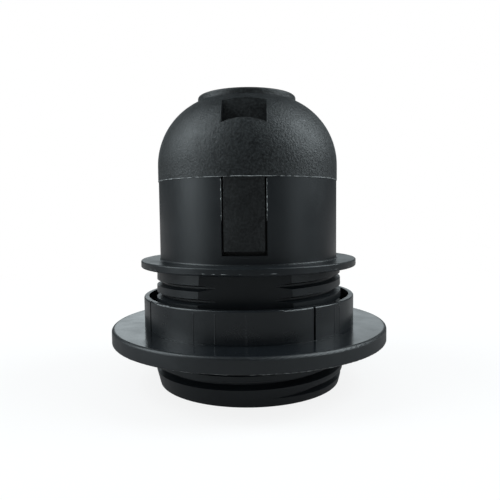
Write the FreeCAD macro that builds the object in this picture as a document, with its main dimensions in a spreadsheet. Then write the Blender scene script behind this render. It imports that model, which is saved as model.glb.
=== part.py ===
import FreeCAD, Part
import math
import os
import Sketcher

# Pendant lamp holder for an E27 lamp, in millimetres.
# The origin is the centre of the skirt's rim, +Z points up the axis to the cable entry,
# and the front, with its tongue and window, faces -Y.

SIZES = [
    # screw shell
    ("lamp_bore", 13.3, "inner radius of the screw shell, the crest of the lamp's thread"),
    ("sheet_thickness", 0.4, "thickness of the screw shell's sheet"),
    ("neck_step", 0.3, "how much narrower the screw shell is above its thread"),
    ("neck_drop", 4.6, "length of that plain neck"),
    ("neck_slope", 0.4, "height of the step up to the neck"),
    ("lamp_mouth", 6.0, "lower edge of the screw shell"),
    ("lamp_top_hole", 9.0, "opening in the screw shell's top"),
    # threaded shell
    ("skirt_gap", 1.8, "room between the screw shell and the skirt"),
    ("skirt_wall", 2.65, "wall of the skirt at the thread's root"),
    ("thread_depth", 1.65, "depth of the thread at the bottom of the skirt"),
    ("thread_top_depth", 1.05, "depth of the thread under the flange"),
    ("rim_step", 0.85, "how far the rim stands out past the thread's root"),
    ("lead_height", 3.2, "height of the tapered start of the skirt's thread"),
    ("root_flat", 0.3, "width of the flat at the thread root"),
    ("flank_slope", 0.36, "how far each flank of the groove leans out per unit of its depth"),
    ("thread_pitch", 2.5, "pitch of the skirt's thread"),
    ("thread_start", 1.94, "height of the thread groove where it reaches its full depth"),
    ("thread_angle", -45.0, "direction in which it does so, in degrees from +X"),
    ("thread_end_room", 1.0, "height between the end of the groove and the flange"),
    ("fade_start", 1.4, "how far out from the thread's root the groove's tip starts"),
    ("fade_angle", 35.0, "angle over which the groove deepens to its full depth"),
    ("flat_depth", 0.85, "depth of the two moulded flats below the thread's root"),
    ("flat_bottom", 7.6, "height at which the flats start"),
    ("mouth_chamfer", 0.6, "chamfer inside the rim"),
    ("flange_bottom", 24.2, "underside of the shell's flange"),
    ("flange_thickness", 1.42, "thickness of the shell's flange"),
    ("flange_reach", 3.94, "how far the flange stands out past the shell"),
    ("flange_round", 0.25, "rounding of the flange's edges"),
    ("root_fillet", 0.3, "fillet where the shell meets its flange"),
    ("shell_wall", 1.6, "wall of the shell above its flange"),
    ("shell_height", 15.98, "height of the shell above its flange"),
    ("ledge_gap", 0.25, "clearance of the screw shell in the ledge that carries the terminal block"),
    ("ledge_rise", 1.38, "height of that ledge above the flange"),
    ("ledge_thickness", 1.6, "thickness of that ledge"),
    ("slot_step", 0.4, "height of the slots' bottom above the ledge"),
    ("slot_width", 8.2, "width of the slots that take the tongues"),
    ("key_width", 2.4, "width of the two keys that stop the terminal block from turning"),
    ("key_depth", 0.9, "how far those keys stand out of the wall"),
    # dome cap
    ("cap_step", 0.1, "how far the cap stands out past the shell at the seam"),
    ("cap_wall", 1.7, "wall of the cap"),
    ("cap_straight", 3.0, "height of the cap's straight part above the seam"),
    ("dome_round", 14.4, "radius of the dome's curve"),
    ("boss_radius", 10.15, "radius of the entry boss"),
    ("boss_height", 1.24, "height of the entry boss above the dome"),
    ("boss_round", 0.45, "rounding of the boss's top edge"),
    ("roof_thickness", 2.4, "thickness of the roof beside the boss"),
    ("spigot_depth", 3.0, "how far the cap's spigot reaches into the shell"),
    ("spigot_wall", 1.2, "wall of that spigot"),
    ("spigot_gap", 0.2, "clearance of the spigot in the shell"),
    ("tongue_gap", 0.4, "clearance on each side of a tongue in its slot"),
    ("tongue_end_gap", 0.8, "clearance under a tongue's end"),
    ("tongue_thickness", 2.04, "thickness of a tongue"),
    ("window_depth", 4.16, "how far a window reaches in from the tongue's inner face"),
    ("window_wall", 1.2, "thickness of the walls round the shaft behind a window and its tongue"),
    ("driver_hole", 1.7, "radius of the hole for a screwdriver in the back window's wall"),
    ("window_width", 8.3, "width of a window"),
    ("socket_wall", 1.88, "wall of the socket that holds the entry bush, at the hexagon's corners"),
    ("socket_depth", 4.4, "depth of that socket below the roof"),
    ("notch_width", 4.4, "width of the notch for the lock screw"),
    # entry bush and its lock screw
    ("bush_flats", 15.0, "width across the bush's hexagon"),
    ("bush_length", 5.0, "length of the bush's hexagon"),
    ("bush_gap", 0.05, "clearance of the bush in the cap"),
    ("bush_shoulder", 0.9, "width of the shoulder between the hexagon's flats and the neck"),
    ("neck_recess", 0.65, "how far the neck ends below the boss's top"),
    ("entry_bore", 4.5, "bore of the M10 x 1 thread"),
    ("stop_step", 0.6, "how far the lip that stops the threaded tube stands into the bore"),
    ("stop_thickness", 0.8, "thickness of that lip"),
    ("lock_drop", 1.9, "how far the lock screw's axis lies below the roof"),
    ("lock_radius", 1.5, "radius of the lock screw"),
    ("lock_back", 0.7, "how far the lock screw's tip is drawn back from the bore"),
    ("lock_length", 4.2, "length of the lock screw"),
    ("thread_gap", 0.05, "clearance of the small screws in their threads"),
    ("drive_slot", 0.7, "width of the screwdriver slots"),
    ("drive_depth", 0.8, "depth of the screwdriver slots"),
    # shade ring
    ("ring_bottom", 9.0, "underside of the shade ring"),
    ("ring_thickness", 3.0, "thickness of the ring's flange"),
    ("ring_reach", 6.65, "how far the ring's flange stands out past its collar"),
    ("ring_round", 0.55, "rounding of the flange's upper edge"),
    ("ring_edge", 0.3, "rounding of the flange's lower edge"),
    ("ring_gap", 0.25, "clearance of the ring's bore on the thread crest"),
    ("collar_room", 1.2, "room between the thread crest and the collar"),
    ("collar_wall", 1.0, "wall of the collar"),
    ("collar_height", 6.2, "height of the collar above the ring's flange"),
    ("collar_round", 0.3, "rounding of the collar's top edge"),
    ("groove_width", 0.5, "width of the collar's grip grooves"),
    ("groove_depth", 0.4, "depth of the collar's grip grooves"),
    ("groove_angle_a", -55.5, "direction of the first pair of grooves, in degrees from +X"),
    ("groove_angle_b", -147.8, "direction of the second pair of grooves"),
    # terminal block
    ("block_gap", 0.45, "clearance of the terminal block in the shell"),
    ("block_base", 2.5, "thickness of the block's floor above the ledge"),
    ("block_step", 1.2, "depth of the block's spigot below the ledge's top"),
    ("block_spigot_gap", 0.35, "clearance of the block's spigot in the ledge"),
    ("block_wall", 1.5, "wall of the block's rim"),
    ("block_room", 1.55, "room between the neutral terminal and that rim"),
    ("key_gap", 0.2, "clearance of the block's notches round the shell's keys"),
    ("block_tongue_gap", 0.3, "clearance of the block's rim behind a tongue"),
    ("block_cap_gap", 0.1, "clearance between the block's rim and the cap's spigot"),
    ("barrier_offset", 2.0, "distance from the neutral terminal to the middle of the barrier"),
    ("barrier_thickness", 1.6, "thickness of the barrier between the terminals"),
    ("barrier_height", 7.5, "height of that barrier"),
    ("blind_gap", 0.4, "clearance round a terminal screw in the block"),
    ("blind_depth", 3.1, "depth of the blind holes under the terminals"),
    # rivets
    ("rivet_radius", 1.0, "radius of the rivets' shanks"),
    ("rivet_gap", 0.05, "clearance of the rivets in their holes"),
    ("rivet_head", 1.5, "radius of the rivets' heads"),
    ("slim_head", 1.3, "head radius of the rivet beside the screw shell's wall"),
    ("slim_gap", 0.1, "clearance of that head from the wall"),
    ("head_height", 0.7, "height of the rivets' heads"),
    ("rivet_circle", 10.8, "distance of the two plain rivets from the axis"),
    ("rivet_spread", 60.0, "direction of the plain rivets, in degrees each side of +X"),
    # centre contact
    ("contact_rivet_place", 4.6, "distance of the centre contact's rivet from the axis"),
    ("contact_thickness", 0.5, "thickness of the centre contact"),
    ("contact_width", 5.0, "width of the centre contact"),
    ("contact_play", 0.35, "room above and below the centre contact's root"),
    ("contact_root", 1.7, "length of the root each side of its rivet"),
    ("contact_drop", 3.1, "how far the centre contact bends down to its tip"),
    ("contact_tip", -2.2, "place of the tip across the axis"),
    ("contact_tail", 2.2, "length of the tail beyond the tip"),
    ("contact_lift", 0.6, "how far that tail rises"),
    # terminals
    ("plate_thickness", 1.5, "thickness of the terminals' base"),
    ("terminal_width", 7.2, "width of the terminals"),
    ("terminal_wall", 0.8, "thickness of the terminals' side walls"),
    ("terminal_height", 4.0, "height of the terminals' side walls above the block's floor"),
    ("live_margin", 1.7, "length of the live terminal inside its rivet"),
    ("live_spacing", 4.0, "distance from the live terminal's rivet to its screw"),
    ("live_end", 3.8, "length of the live terminal outside its screw"),
    ("neutral_margin", 1.8, "length of the neutral terminal outside its rivet"),
    ("neutral_spacing", 4.2, "distance from the neutral terminal's rivet to its screw"),
    ("neutral_end", 2.8, "length of the neutral terminal inside its screw"),
    ("wire_gap", 1.2, "open gap for a wire under a clamp washer"),
    ("washer_length", 4.7, "length of a clamp washer along the terminal"),
    ("washer_gap", 0.3, "clearance of a clamp washer between the terminal's walls"),
    ("washer_thickness", 0.9, "thickness of a clamp washer"),
    ("washer_hole_gap", 0.1, "clearance of a terminal screw in its washer"),
    ("screw_radius", 1.5, "radius of a terminal screw"),
    ("screw_length", 5.0, "length of a terminal screw under its head"),
    ("screw_head", 2.35, "radius of a terminal screw's head"),
    ("screw_head_height", 1.9, "height of a terminal screw's head"),
]

doc = FreeCAD.newDocument("lamp_holder")
sheet = doc.addObject("Spreadsheet::Sheet", "sizes")


class Size:
    """A length or angle: its number, and the expression that follows the sheet."""

    def __init__(self, number, words):
        self.number = number
        self.words = words

    def join(self, other, sign, number):
        words = other.words if isinstance(other, Size) else repr(other)
        return Size(number, f"({self.words} {sign} {words})")

    def __add__(self, other):
        return self.join(other, "+", self.number + plain(other))

    def __sub__(self, other):
        return self.join(other, "-", self.number - plain(other))

    def __mul__(self, other):
        return self.join(other, "*", self.number * plain(other))

    def __truediv__(self, other):
        return self.join(other, "/", self.number / plain(other))

    def __neg__(self):
        return Size(-self.number, f"(-1 * {self.words})")


def plain(value):
    return value.number if isinstance(value, Size) else value


def leg(long_side, short_side):
    """The third side of a right-angled triangle."""
    number = math.sqrt(plain(long_side) ** 2 - plain(short_side) ** 2)
    return Size(number, f"sqrt({long_side.words} ^ 2 - {short_side.words} ^ 2)")


def turned(length, angle):
    """The two coordinates of a point at this distance and direction."""
    radians = math.radians(angle.number)
    across = Size(length.number * math.cos(radians), f"({length.words} * cos({angle.words} * 1 deg))")
    along = Size(length.number * math.sin(radians), f"({length.words} * sin({angle.words} * 1 deg))")
    return across, along


def fill_sheet():
    sizes = {}
    for row, (name, value, note) in enumerate(SIZES, start=1):
        sheet.set(f"A{row}", name)
        sheet.set(f"B{row}", str(value))
        sheet.set(f"C{row}", note)
        sheet.setAlias(f"B{row}", name)
        sizes[name] = Size(value, f"{sheet.Name}.{name}")
    doc.recompute()
    return sizes


def derive(s):
    """What follows from the driving sizes, from the lamp's thread outwards and from the rim up."""
    s["neck_bore"] = s["lamp_bore"] - s["neck_step"]
    s["neutral_rivet_place"] = s["slim_head"] + s["slim_gap"] - s["neck_bore"]
    s["neutral_outer"] = s["neutral_rivet_place"] - s["neutral_margin"]
    s["neutral_screw_place"] = s["neutral_rivet_place"] + s["neutral_spacing"]
    s["neutral_inner"] = s["neutral_screw_place"] + s["neutral_end"]
    s["live_inner"] = s["contact_rivet_place"] - s["live_margin"]
    s["live_screw_place"] = s["contact_rivet_place"] + s["live_spacing"]
    s["live_outer"] = s["live_screw_place"] + s["live_end"]
    s["barrier_place"] = s["neutral_inner"] + s["barrier_offset"]
    s["block_bore"] = s["block_room"] - s["neutral_outer"]
    s["block_radius"] = s["block_bore"] + s["block_wall"]
    s["shell_bore"] = s["block_radius"] + s["block_gap"]
    s["shell_radius"] = s["shell_bore"] + s["shell_wall"]
    s["flange_radius"] = s["shell_radius"] + s["flange_reach"]
    s["cap_radius"] = s["shell_radius"] + s["cap_step"]
    s["tongue_plane"] = s["shell_radius"] - s["tongue_thickness"]
    s["window_inner"] = s["tongue_plane"] - s["window_depth"]
    s["ledge_radius"] = s["lamp_bore"] + s["sheet_thickness"] + s["ledge_gap"]
    s["skirt_bore"] = s["lamp_bore"] + s["sheet_thickness"] + s["skirt_gap"]
    s["root_radius"] = s["skirt_bore"] + s["skirt_wall"]
    s["crest_radius"] = s["root_radius"] + s["thread_depth"]
    s["crest_top_radius"] = s["root_radius"] + s["thread_top_depth"]
    s["rim_radius"] = s["root_radius"] + s["rim_step"]
    s["flat_distance"] = s["root_radius"] - s["flat_depth"]
    s["ring_bore"] = s["crest_radius"] + s["ring_gap"]
    s["collar_bore"] = s["crest_radius"] + s["collar_room"]
    s["collar_radius"] = s["collar_bore"] + s["collar_wall"]
    s["ring_radius"] = s["collar_radius"] + s["ring_reach"]
    s["ring_top"] = s["ring_bottom"] + s["ring_thickness"]
    s["collar_top"] = s["ring_top"] + s["collar_height"]
    s["flange_top"] = s["flange_bottom"] + s["flange_thickness"]
    s["ledge_top"] = s["flange_top"] + s["ledge_rise"]
    s["slot_bottom"] = s["ledge_top"] + s["slot_step"]
    s["block_floor"] = s["ledge_top"] + s["block_base"]
    s["block_under"] = s["ledge_top"] - s["block_step"]
    s["barrier_top"] = s["block_floor"] + s["barrier_height"]
    s["neck_height"] = s["block_under"] - s["neck_drop"]
    s["seam_height"] = s["flange_top"] + s["shell_height"]
    s["spigot_end"] = s["seam_height"] - s["spigot_depth"]
    s["block_top"] = s["spigot_end"] - s["block_cap_gap"]
    s["dome_spring"] = s["seam_height"] + s["cap_straight"]
    s["dome_centre"] = s["cap_radius"] - s["dome_round"]
    s["land_height"] = s["dome_spring"] + leg(s["dome_round"], s["boss_radius"] - s["dome_centre"])
    s["roof_under"] = s["land_height"] - s["roof_thickness"]
    s["boss_top"] = s["land_height"] + s["boss_height"]
    s["socket_radius"] = s["bush_flats"] / math.sqrt(3) + s["bush_gap"] + s["socket_wall"]
    s["neck_radius"] = s["bush_flats"] / 2 - s["bush_shoulder"]
    s["stop_bore"] = s["entry_bore"] - s["stop_step"]
    s["lock_height"] = s["roof_under"] - s["lock_drop"]
    s["lock_tip"] = s["entry_bore"] + s["lock_back"]


def bind(thing, name, size):
    """Set a property and tie it to the sheet."""
    if "." not in name:
        setattr(thing, name, plain(size))
    if isinstance(size, Size):
        thing.setExpression(name, size.words)


def new_body(label):
    body = doc.addObject("PartDesign::Body", label)
    body.Label = label
    return body


def new_sketch(body, name, role="XY_Plane", lift=None, turn=None):
    """A sketch on one of the body's own origin planes, lifted off it or turned about Z."""
    sketch = body.newObject("Sketcher::SketchObject", name)
    plane = [item for item in body.Origin.OriginFeatures if item.Role == role][0]
    sketch.AttachmentSupport = [(plane, "")]
    sketch.MapMode = "FlatFace"
    if turn is not None:
        sketch.AttachmentOffset = FreeCAD.Placement(FreeCAD.Vector(), turn_axis(role), plain(turn))
        sketch.setExpression("AttachmentOffset.Rotation.Angle", f"{turn.words} * 1 deg")
    if lift is not None:
        sketch.setExpression("AttachmentOffset.Base.z", lift.words)
    return sketch


def turn_axis(role):
    """The sketch direction that lies along the object's Z axis."""
    return FreeCAD.Vector(0, 0, 1) if role == "XY_Plane" else FreeCAD.Vector(0, 1, 0)


def arc_between(start, end, radius):
    """An arc of less than half a turn; a positive radius turns left from start to end."""
    chord = end - start
    middle = (start + end) * 0.5
    reach = math.sqrt(max(radius * radius - chord.Length ** 2 / 4, 0.0))
    left = FreeCAD.Vector(-chord.y, chord.x, 0).normalize()
    centre = middle + left * (reach if radius > 0 else -reach)
    first, last = (start, end) if radius > 0 else (end, start)
    begin = math.atan2(first.y - centre.y, first.x - centre.x)
    finish = math.atan2(last.y - centre.y, last.x - centre.x)
    circle = Part.Circle(centre, FreeCAD.Vector(0, 0, 1), abs(radius))
    return Part.ArcOfCircle(circle, begin, finish)


def pin_point(sketch, geometry, point, place):
    """Hold a sketch point at its two coordinates."""
    for kind, axis, value in (("DistanceX", -2, place[0]), ("DistanceY", -1, place[1])):
        if not isinstance(value, Size) and value == 0:
            sketch.addConstraint(Sketcher.Constraint("PointOnObject", geometry, point, axis))
        else:
            index = sketch.addConstraint(Sketcher.Constraint(kind, geometry, point, plain(value)))
            sketch.setExpression(f"Constraints[{index}]", value.words)


def outline(sketch, corners):
    """A closed outline. A corner is (across, up), with an arc radius where an arc leads to the next."""
    spots = [FreeCAD.Vector(plain(corner[0]), plain(corner[1]), 0) for corner in corners]
    ends = []
    for index, corner in enumerate(corners):
        start = spots[index]
        end = spots[(index + 1) % len(corners)]
        if len(corner) == 2:
            ends.append((sketch.addGeometry(Part.LineSegment(start, end)), 1, 2))
            continue
        radius = plain(corner[2])
        number = sketch.addGeometry(arc_between(start, end, radius))
        ends.append((number, 1, 2) if radius > 0 else (number, 2, 1))
    for index, corner in enumerate(corners):
        number, first, _ = ends[index]
        before, _, last = ends[index - 1]
        sketch.addConstraint(Sketcher.Constraint("Coincident", before, last, number, first))
        pin_point(sketch, number, first, corner[:2])
        if len(corner) == 3:
            size = corner[2]
            place = sketch.addConstraint(Sketcher.Constraint("Radius", number, abs(plain(size))))
            sketch.setExpression(f"Constraints[{place}]", f"abs({size.words})")


def circle(sketch, across, up, radius):
    centre = FreeCAD.Vector(plain(across), plain(up), 0)
    ring = Part.Circle(centre, FreeCAD.Vector(0, 0, 1), plain(radius))
    number = sketch.addGeometry(ring)
    pin_point(sketch, number, 3, (across, up))
    place = sketch.addConstraint(Sketcher.Constraint("Radius", number, plain(radius)))
    sketch.setExpression(f"Constraints[{place}]", radius.words)


def rectangle(sketch, left, right, low, high):
    outline(sketch, [(left, low), (right, low), (right, high), (left, high)])


def revolve(body, name, corners):
    """A solid of revolution about Z from its half section."""
    sketch = new_sketch(body, name + "_section", "XZ_Plane")
    outline(sketch, corners)
    turn = body.newObject("PartDesign::Revolution", name)
    turn.Profile = sketch
    turn.ReferenceAxis = (sketch, ["V_Axis"])
    turn.Angle = 360
    doc.recompute()
    return turn


def pad(body, name, sketch, length, midplane=False):
    """Material added along the sketch's normal."""
    feature = body.newObject("PartDesign::Pad", name)
    feature.Profile = sketch
    bind(feature, "Length", length)
    feature.Midplane = midplane
    doc.recompute()
    return feature


def pocket(body, name, sketch, length, midplane=False):
    """Material taken away along the sketch's normal, with proof that some was."""
    before = body.Shape.Volume
    feature = body.newObject("PartDesign::Pocket", name)
    feature.Profile = sketch
    bind(feature, "Length", length)
    feature.Midplane = midplane
    feature.Reversed = not midplane
    doc.recompute()
    if body.Shape.Volume >= before:
        raise RuntimeError(f"{name} cuts nothing")
    return feature


def threaded_shell(s):
    body = new_body("threaded_shell")
    flange_top = s["flange_top"]
    rounded = s["flange_round"]
    fillet = s["root_fillet"]
    revolve(body, "shell_blank", [
        (s["skirt_bore"] + s["mouth_chamfer"], 0),
        (s["rim_radius"], 0),
        (s["crest_radius"], s["lead_height"]),
        (s["crest_top_radius"], s["flange_bottom"]),
        (s["flange_radius"] - rounded, s["flange_bottom"], rounded),
        (s["flange_radius"], s["flange_bottom"] + rounded),
        (s["flange_radius"], flange_top - rounded, rounded),
        (s["flange_radius"] - rounded, flange_top),
        (s["shell_radius"] + fillet, flange_top, -fillet),
        (s["shell_radius"], flange_top + fillet),
        (s["shell_radius"], s["seam_height"]),
        (s["shell_bore"], s["seam_height"]),
        (s["shell_bore"], s["ledge_top"]),
        (s["ledge_radius"], s["ledge_top"]),
        (s["ledge_radius"], s["ledge_top"] - s["ledge_thickness"]),
        (s["skirt_bore"], s["ledge_top"] - s["ledge_thickness"]),
        (s["skirt_bore"], s["mouth_chamfer"]),
    ])
    cut_thread(body, s)
    cut_flats(body, s)
    cut_slots(body, s)
    add_keys(body, s)
    return body


def cut_thread(body, s):
    """The groove of the right-hand thread: a start that deepens, then the full depth."""
    none = Size(0.0, "0")
    drop = s["fade_start"]
    turns = s["fade_angle"] / 360
    climb = s["thread_pitch"] * turns
    steep = math.degrees(math.atan(plain(drop) / plain(climb)))
    cone = Size(-steep, f"(-1 * atan({drop.words} / ({climb.words})) / 1 deg)")
    start = (s["thread_start"] - climb, s["thread_angle"] - s["fade_angle"])
    cut_groove(body, s, "thread_fade", start, drop, climb, turns, cone)
    height = s["flange_bottom"] - s["thread_end_room"] - s["thread_start"]
    full = (s["thread_start"], s["thread_angle"])
    cut_groove(body, s, "thread_groove", full, none, height, height / s["thread_pitch"], none)


def cut_groove(body, s, name, start, out, height, turns, cone):
    """A V groove swept up a helix from its start, which lies out from the thread's root by this much."""
    level, angle = start
    sketch = new_sketch(body, name + "_section", "XZ_Plane", turn=angle)
    root = s["root_radius"] + out
    outside = s["crest_radius"] + s["root_flat"] * 2 + out
    half_root = s["root_flat"] / 2
    half_mouth = half_root + (outside - root) * s["flank_slope"]
    outline(sketch, [
        (root, level - half_root),
        (outside, level - half_mouth),
        (outside, level + half_mouth),
        (root, level + half_root),
    ])
    before = body.Shape.Volume
    groove = body.newObject("PartDesign::SubtractiveHelix", name)
    groove.Profile = sketch
    groove.ReferenceAxis = (sketch, ["V_Axis"])
    groove.Mode = "height-turns-angle"
    bind(groove, "Height", height)
    bind(groove, "Turns", turns)
    bind(groove, "Angle", cone)
    groove.LeftHanded = False
    groove.Reversed = False
    doc.recompute()
    if body.Shape.Volume >= before:
        raise RuntimeError(f"{name} cuts nothing")


def cut_flats(body, s):
    """The two flats at the front and back, above the thread's first turns."""
    sketch = new_sketch(body, "flats_plan", lift=s["flat_bottom"])
    half = s["crest_radius"]
    outside = s["crest_radius"] + 1
    rectangle(sketch, -half, half, -outside, -s["flat_distance"])
    rectangle(sketch, -half, half, s["flat_distance"], outside)
    pocket(body, "flats", sketch, s["flange_bottom"] - s["flat_bottom"])


def cut_slots(body, s):
    """The slots through the wall that take the cap's two tongues."""
    sketch = new_sketch(body, "slots_plan", lift=s["slot_bottom"])
    half = s["slot_width"] / 2
    outside = s["shell_radius"] + 1
    rectangle(sketch, -half, half, -outside, outside)
    pocket(body, "slots", sketch, s["seam_height"] - s["slot_bottom"] + 1)


def add_keys(body, s):
    """The two upright keys inside the wall, left and right."""
    sketch = new_sketch(body, "keys_plan", lift=s["ledge_top"])
    half = s["key_width"] / 2
    inner = s["shell_bore"] - s["key_depth"]
    outer = s["shell_bore"] + s["shell_wall"] / 2
    rectangle(sketch, inner, outer, -half, half)
    rectangle(sketch, -outer, -inner, -half, half)
    pad(body, "keys", sketch, s["block_top"] - s["ledge_top"])


def dome_cap(s):
    body = new_body("dome_cap")
    centre = s["dome_centre"]
    inner_round = s["dome_round"] - s["cap_wall"]
    inner_radius = s["cap_radius"] - s["cap_wall"]
    spigot = s["shell_bore"] - s["spigot_gap"]
    spigot_bore = spigot - s["spigot_wall"]
    hole = s["neck_radius"] + s["bush_gap"]
    rounded = s["boss_round"]
    shoulder = inner_radius - spigot_bore
    revolve(body, "cap_blank", [
        (spigot_bore, s["spigot_end"]),
        (spigot, s["spigot_end"]),
        (spigot, s["seam_height"]),
        (s["cap_radius"], s["seam_height"]),
        (s["cap_radius"], s["dome_spring"], s["dome_round"]),
        (s["boss_radius"], s["land_height"]),
        (s["boss_radius"], s["boss_top"] - rounded, rounded),
        (s["boss_radius"] - rounded, s["boss_top"]),
        (hole, s["boss_top"]),
        (hole, s["roof_under"]),
        (centre + leg(inner_round, s["roof_under"] - s["dome_spring"]), s["roof_under"], -inner_round),
        (inner_radius, s["dome_spring"]),
        (spigot_bore, s["dome_spring"] - shoulder),
    ])
    bush_socket(body, s)
    add_shafts(body, s, spigot_bore - s["spigot_wall"] / 4)
    cut_windows(body, s)
    add_tongues(body, s)
    return body


def hexagon(sketch, flats):
    """A hexagon round the axis with two of its flats across Y."""
    half = flats / 2
    corner = flats / math.sqrt(3)
    outline(sketch, [
        (corner, 0),
        (corner / 2, half),
        (-corner / 2, half),
        (-corner, 0),
        (-corner / 2, -half),
        (corner / 2, -half),
    ])


def bush_socket(body, s):
    """The hexagonal socket under the roof, notched at the back for the lock screw."""
    low = s["roof_under"] - s["socket_depth"]
    ring = new_sketch(body, "socket_plan", lift=low)
    circle(ring, 0, 0, s["socket_radius"])
    hexagon(ring, s["bush_flats"] + s["bush_gap"] * 2)
    pad(body, "socket", ring, s["socket_depth"])
    notch = new_sketch(body, "notch_plan", lift=low)
    half = s["notch_width"] / 2
    rectangle(notch, -half, half, s["bush_flats"] / 2 - 1, s["socket_radius"] + 1)
    pocket(body, "notch", notch, s["socket_depth"])


def add_shafts(body, s, reach):
    """The walls that close off the shaft behind each window and tongue, from the spigot to the roof."""
    inner = s["window_inner"] - s["window_wall"]
    middle = s["dome_round"] - s["cap_wall"] * 0.6
    deep = s["dome_centre"] + middle
    top = s["dome_centre"] + leg(middle, s["roof_under"] - s["dome_spring"])
    section = new_sketch(body, "shafts_section", "YZ_Plane")
    outline(section, [
        (inner, s["spigot_end"]),
        (reach, s["spigot_end"]),
        (reach, s["seam_height"]),
        (deep, s["seam_height"]),
        (deep, s["dome_spring"], middle),
        (top, s["roof_under"]),
        (inner, s["roof_under"]),
    ])
    outline(section, [
        (-inner, s["spigot_end"]),
        (-inner, s["roof_under"]),
        (-top, s["roof_under"], middle),
        (-deep, s["dome_spring"]),
        (-deep, s["seam_height"]),
        (-reach, s["seam_height"]),
        (-reach, s["spigot_end"]),
    ])
    pad(body, "shafts", section, s["window_width"] + s["window_wall"] * 2, midplane=True)
    driver = new_sketch(body, "driver_hole_plan", "XZ_Plane")
    circle(driver, 0, s["lock_height"], s["driver_hole"])
    hole = pocket(body, "driver_hole", driver, s["window_inner"] + s["window_wall"])
    hole.Reversed = False
    doc.recompute()


def cut_windows(body, s):
    """The upright windows through the dome's shoulders, front and back."""
    low = s["spigot_end"]
    sketch = new_sketch(body, "windows_plan", lift=low)
    half = s["window_width"] / 2
    rectangle(sketch, -half, half, -s["tongue_plane"], -s["window_inner"])
    rectangle(sketch, -half, half, s["window_inner"], s["tongue_plane"])
    pocket(body, "windows", sketch, s["boss_top"] - low)


def add_tongues(body, s):
    """The two tongues that reach down into the shell's slots."""
    low = s["slot_bottom"] + s["tongue_end_gap"]
    sketch = new_sketch(body, "tongues_plan", lift=low)
    half = s["slot_width"] / 2 - s["tongue_gap"]
    edge = leg(s["shell_radius"], half)
    outline(sketch, [
        (half, -s["tongue_plane"]),
        (-half, -s["tongue_plane"]),
        (-half, -edge, s["shell_radius"]),
        (half, -edge),
    ])
    outline(sketch, [
        (-half, s["tongue_plane"]),
        (half, s["tongue_plane"]),
        (half, edge, s["shell_radius"]),
        (-half, edge),
    ])
    pad(body, "tongues", sketch, s["seam_height"] - low + s["cap_wall"])


def entry_bush(s):
    body = new_body("entry_bush")
    low = s["roof_under"] - s["bush_length"]
    plan = new_sketch(body, "bush_plan", lift=low)
    hexagon(plan, s["bush_flats"])
    pad(body, "bush_hexagon", plan, s["bush_length"])
    neck = new_sketch(body, "neck_plan", lift=s["roof_under"])
    circle(neck, 0, 0, s["neck_radius"])
    pad(body, "neck", neck, s["boss_top"] - s["neck_recess"] - s["roof_under"])
    bore = new_sketch(body, "bore_plan", lift=low + s["stop_thickness"])
    circle(bore, 0, 0, s["entry_bore"])
    pocket(body, "bore", bore, s["boss_top"] - low)
    lip = new_sketch(body, "lip_plan", lift=low)
    circle(lip, 0, 0, s["stop_bore"])
    pocket(body, "lip", lip, s["bush_length"])
    side = new_sketch(body, "lock_hole_plan", "XZ_Plane")
    circle(side, 0, s["lock_height"], s["lock_radius"] + s["thread_gap"])
    lock_hole = pocket(body, "lock_hole", side, s["bush_flats"])
    lock_hole.Reversed = False
    doc.recompute()
    return body


def lock_screw(s):
    """A slotted grub screw, lying along +Y at the back of the bush."""
    body = new_body("lock_screw")
    section = new_sketch(body, "grub_section", "YZ_Plane")
    tip = s["lock_tip"]
    end = tip + s["lock_length"]
    cone = s["lock_radius"] / 2
    axis = s["lock_height"]
    outline(section, [
        (tip, axis),
        (end, axis),
        (end, axis + s["lock_radius"]),
        (tip + cone, axis + s["lock_radius"]),
        (tip, axis + cone),
    ])
    turn = body.newObject("PartDesign::Revolution", "grub")
    turn.Profile = section
    turn.ReferenceAxis = (section, ["Edge1"])
    turn.Angle = 360
    doc.recompute()
    slot = new_sketch(body, "grub_slot_plan")
    half = s["drive_slot"] / 2
    rectangle(slot, -half, half, end - s["drive_depth"], end + 1)
    pocket(body, "grub_slot", slot, axis * 4, midplane=True)
    return body


def shade_ring(s):
    body = new_body("shade_ring")
    low = s["ring_bottom"]
    high = s["ring_top"]
    revolve(body, "ring_blank", [
        (s["ring_bore"], low),
        (s["ring_radius"] - s["ring_edge"], low, s["ring_edge"]),
        (s["ring_radius"], low + s["ring_edge"]),
        (s["ring_radius"], high - s["ring_round"], s["ring_round"]),
        (s["ring_radius"] - s["ring_round"], high),
        (s["collar_radius"], high),
        (s["collar_radius"], s["collar_top"] - s["collar_round"], s["collar_round"]),
        (s["collar_radius"] - s["collar_round"], s["collar_top"]),
        (s["collar_bore"], s["collar_top"]),
        (s["collar_bore"], high),
        (s["ring_bore"], high),
    ])
    for name in ("a", "b"):
        cut_grip_grooves(body, s, name)
    return body


def cut_grip_grooves(body, s, name):
    """Two opposite grooves down the outside of the collar."""
    sketch = new_sketch(body, "grip_plan_" + name, lift=s["ring_top"], turn=s["groove_angle_" + name])
    half = s["groove_width"] / 2
    inner = s["collar_radius"] - s["groove_depth"]
    outer = s["collar_radius"] + 1
    rectangle(sketch, inner, outer, -half, half)
    rectangle(sketch, -outer, -inner, -half, half)
    pocket(body, "grip_" + name, sketch, s["collar_height"] + 1)


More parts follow.
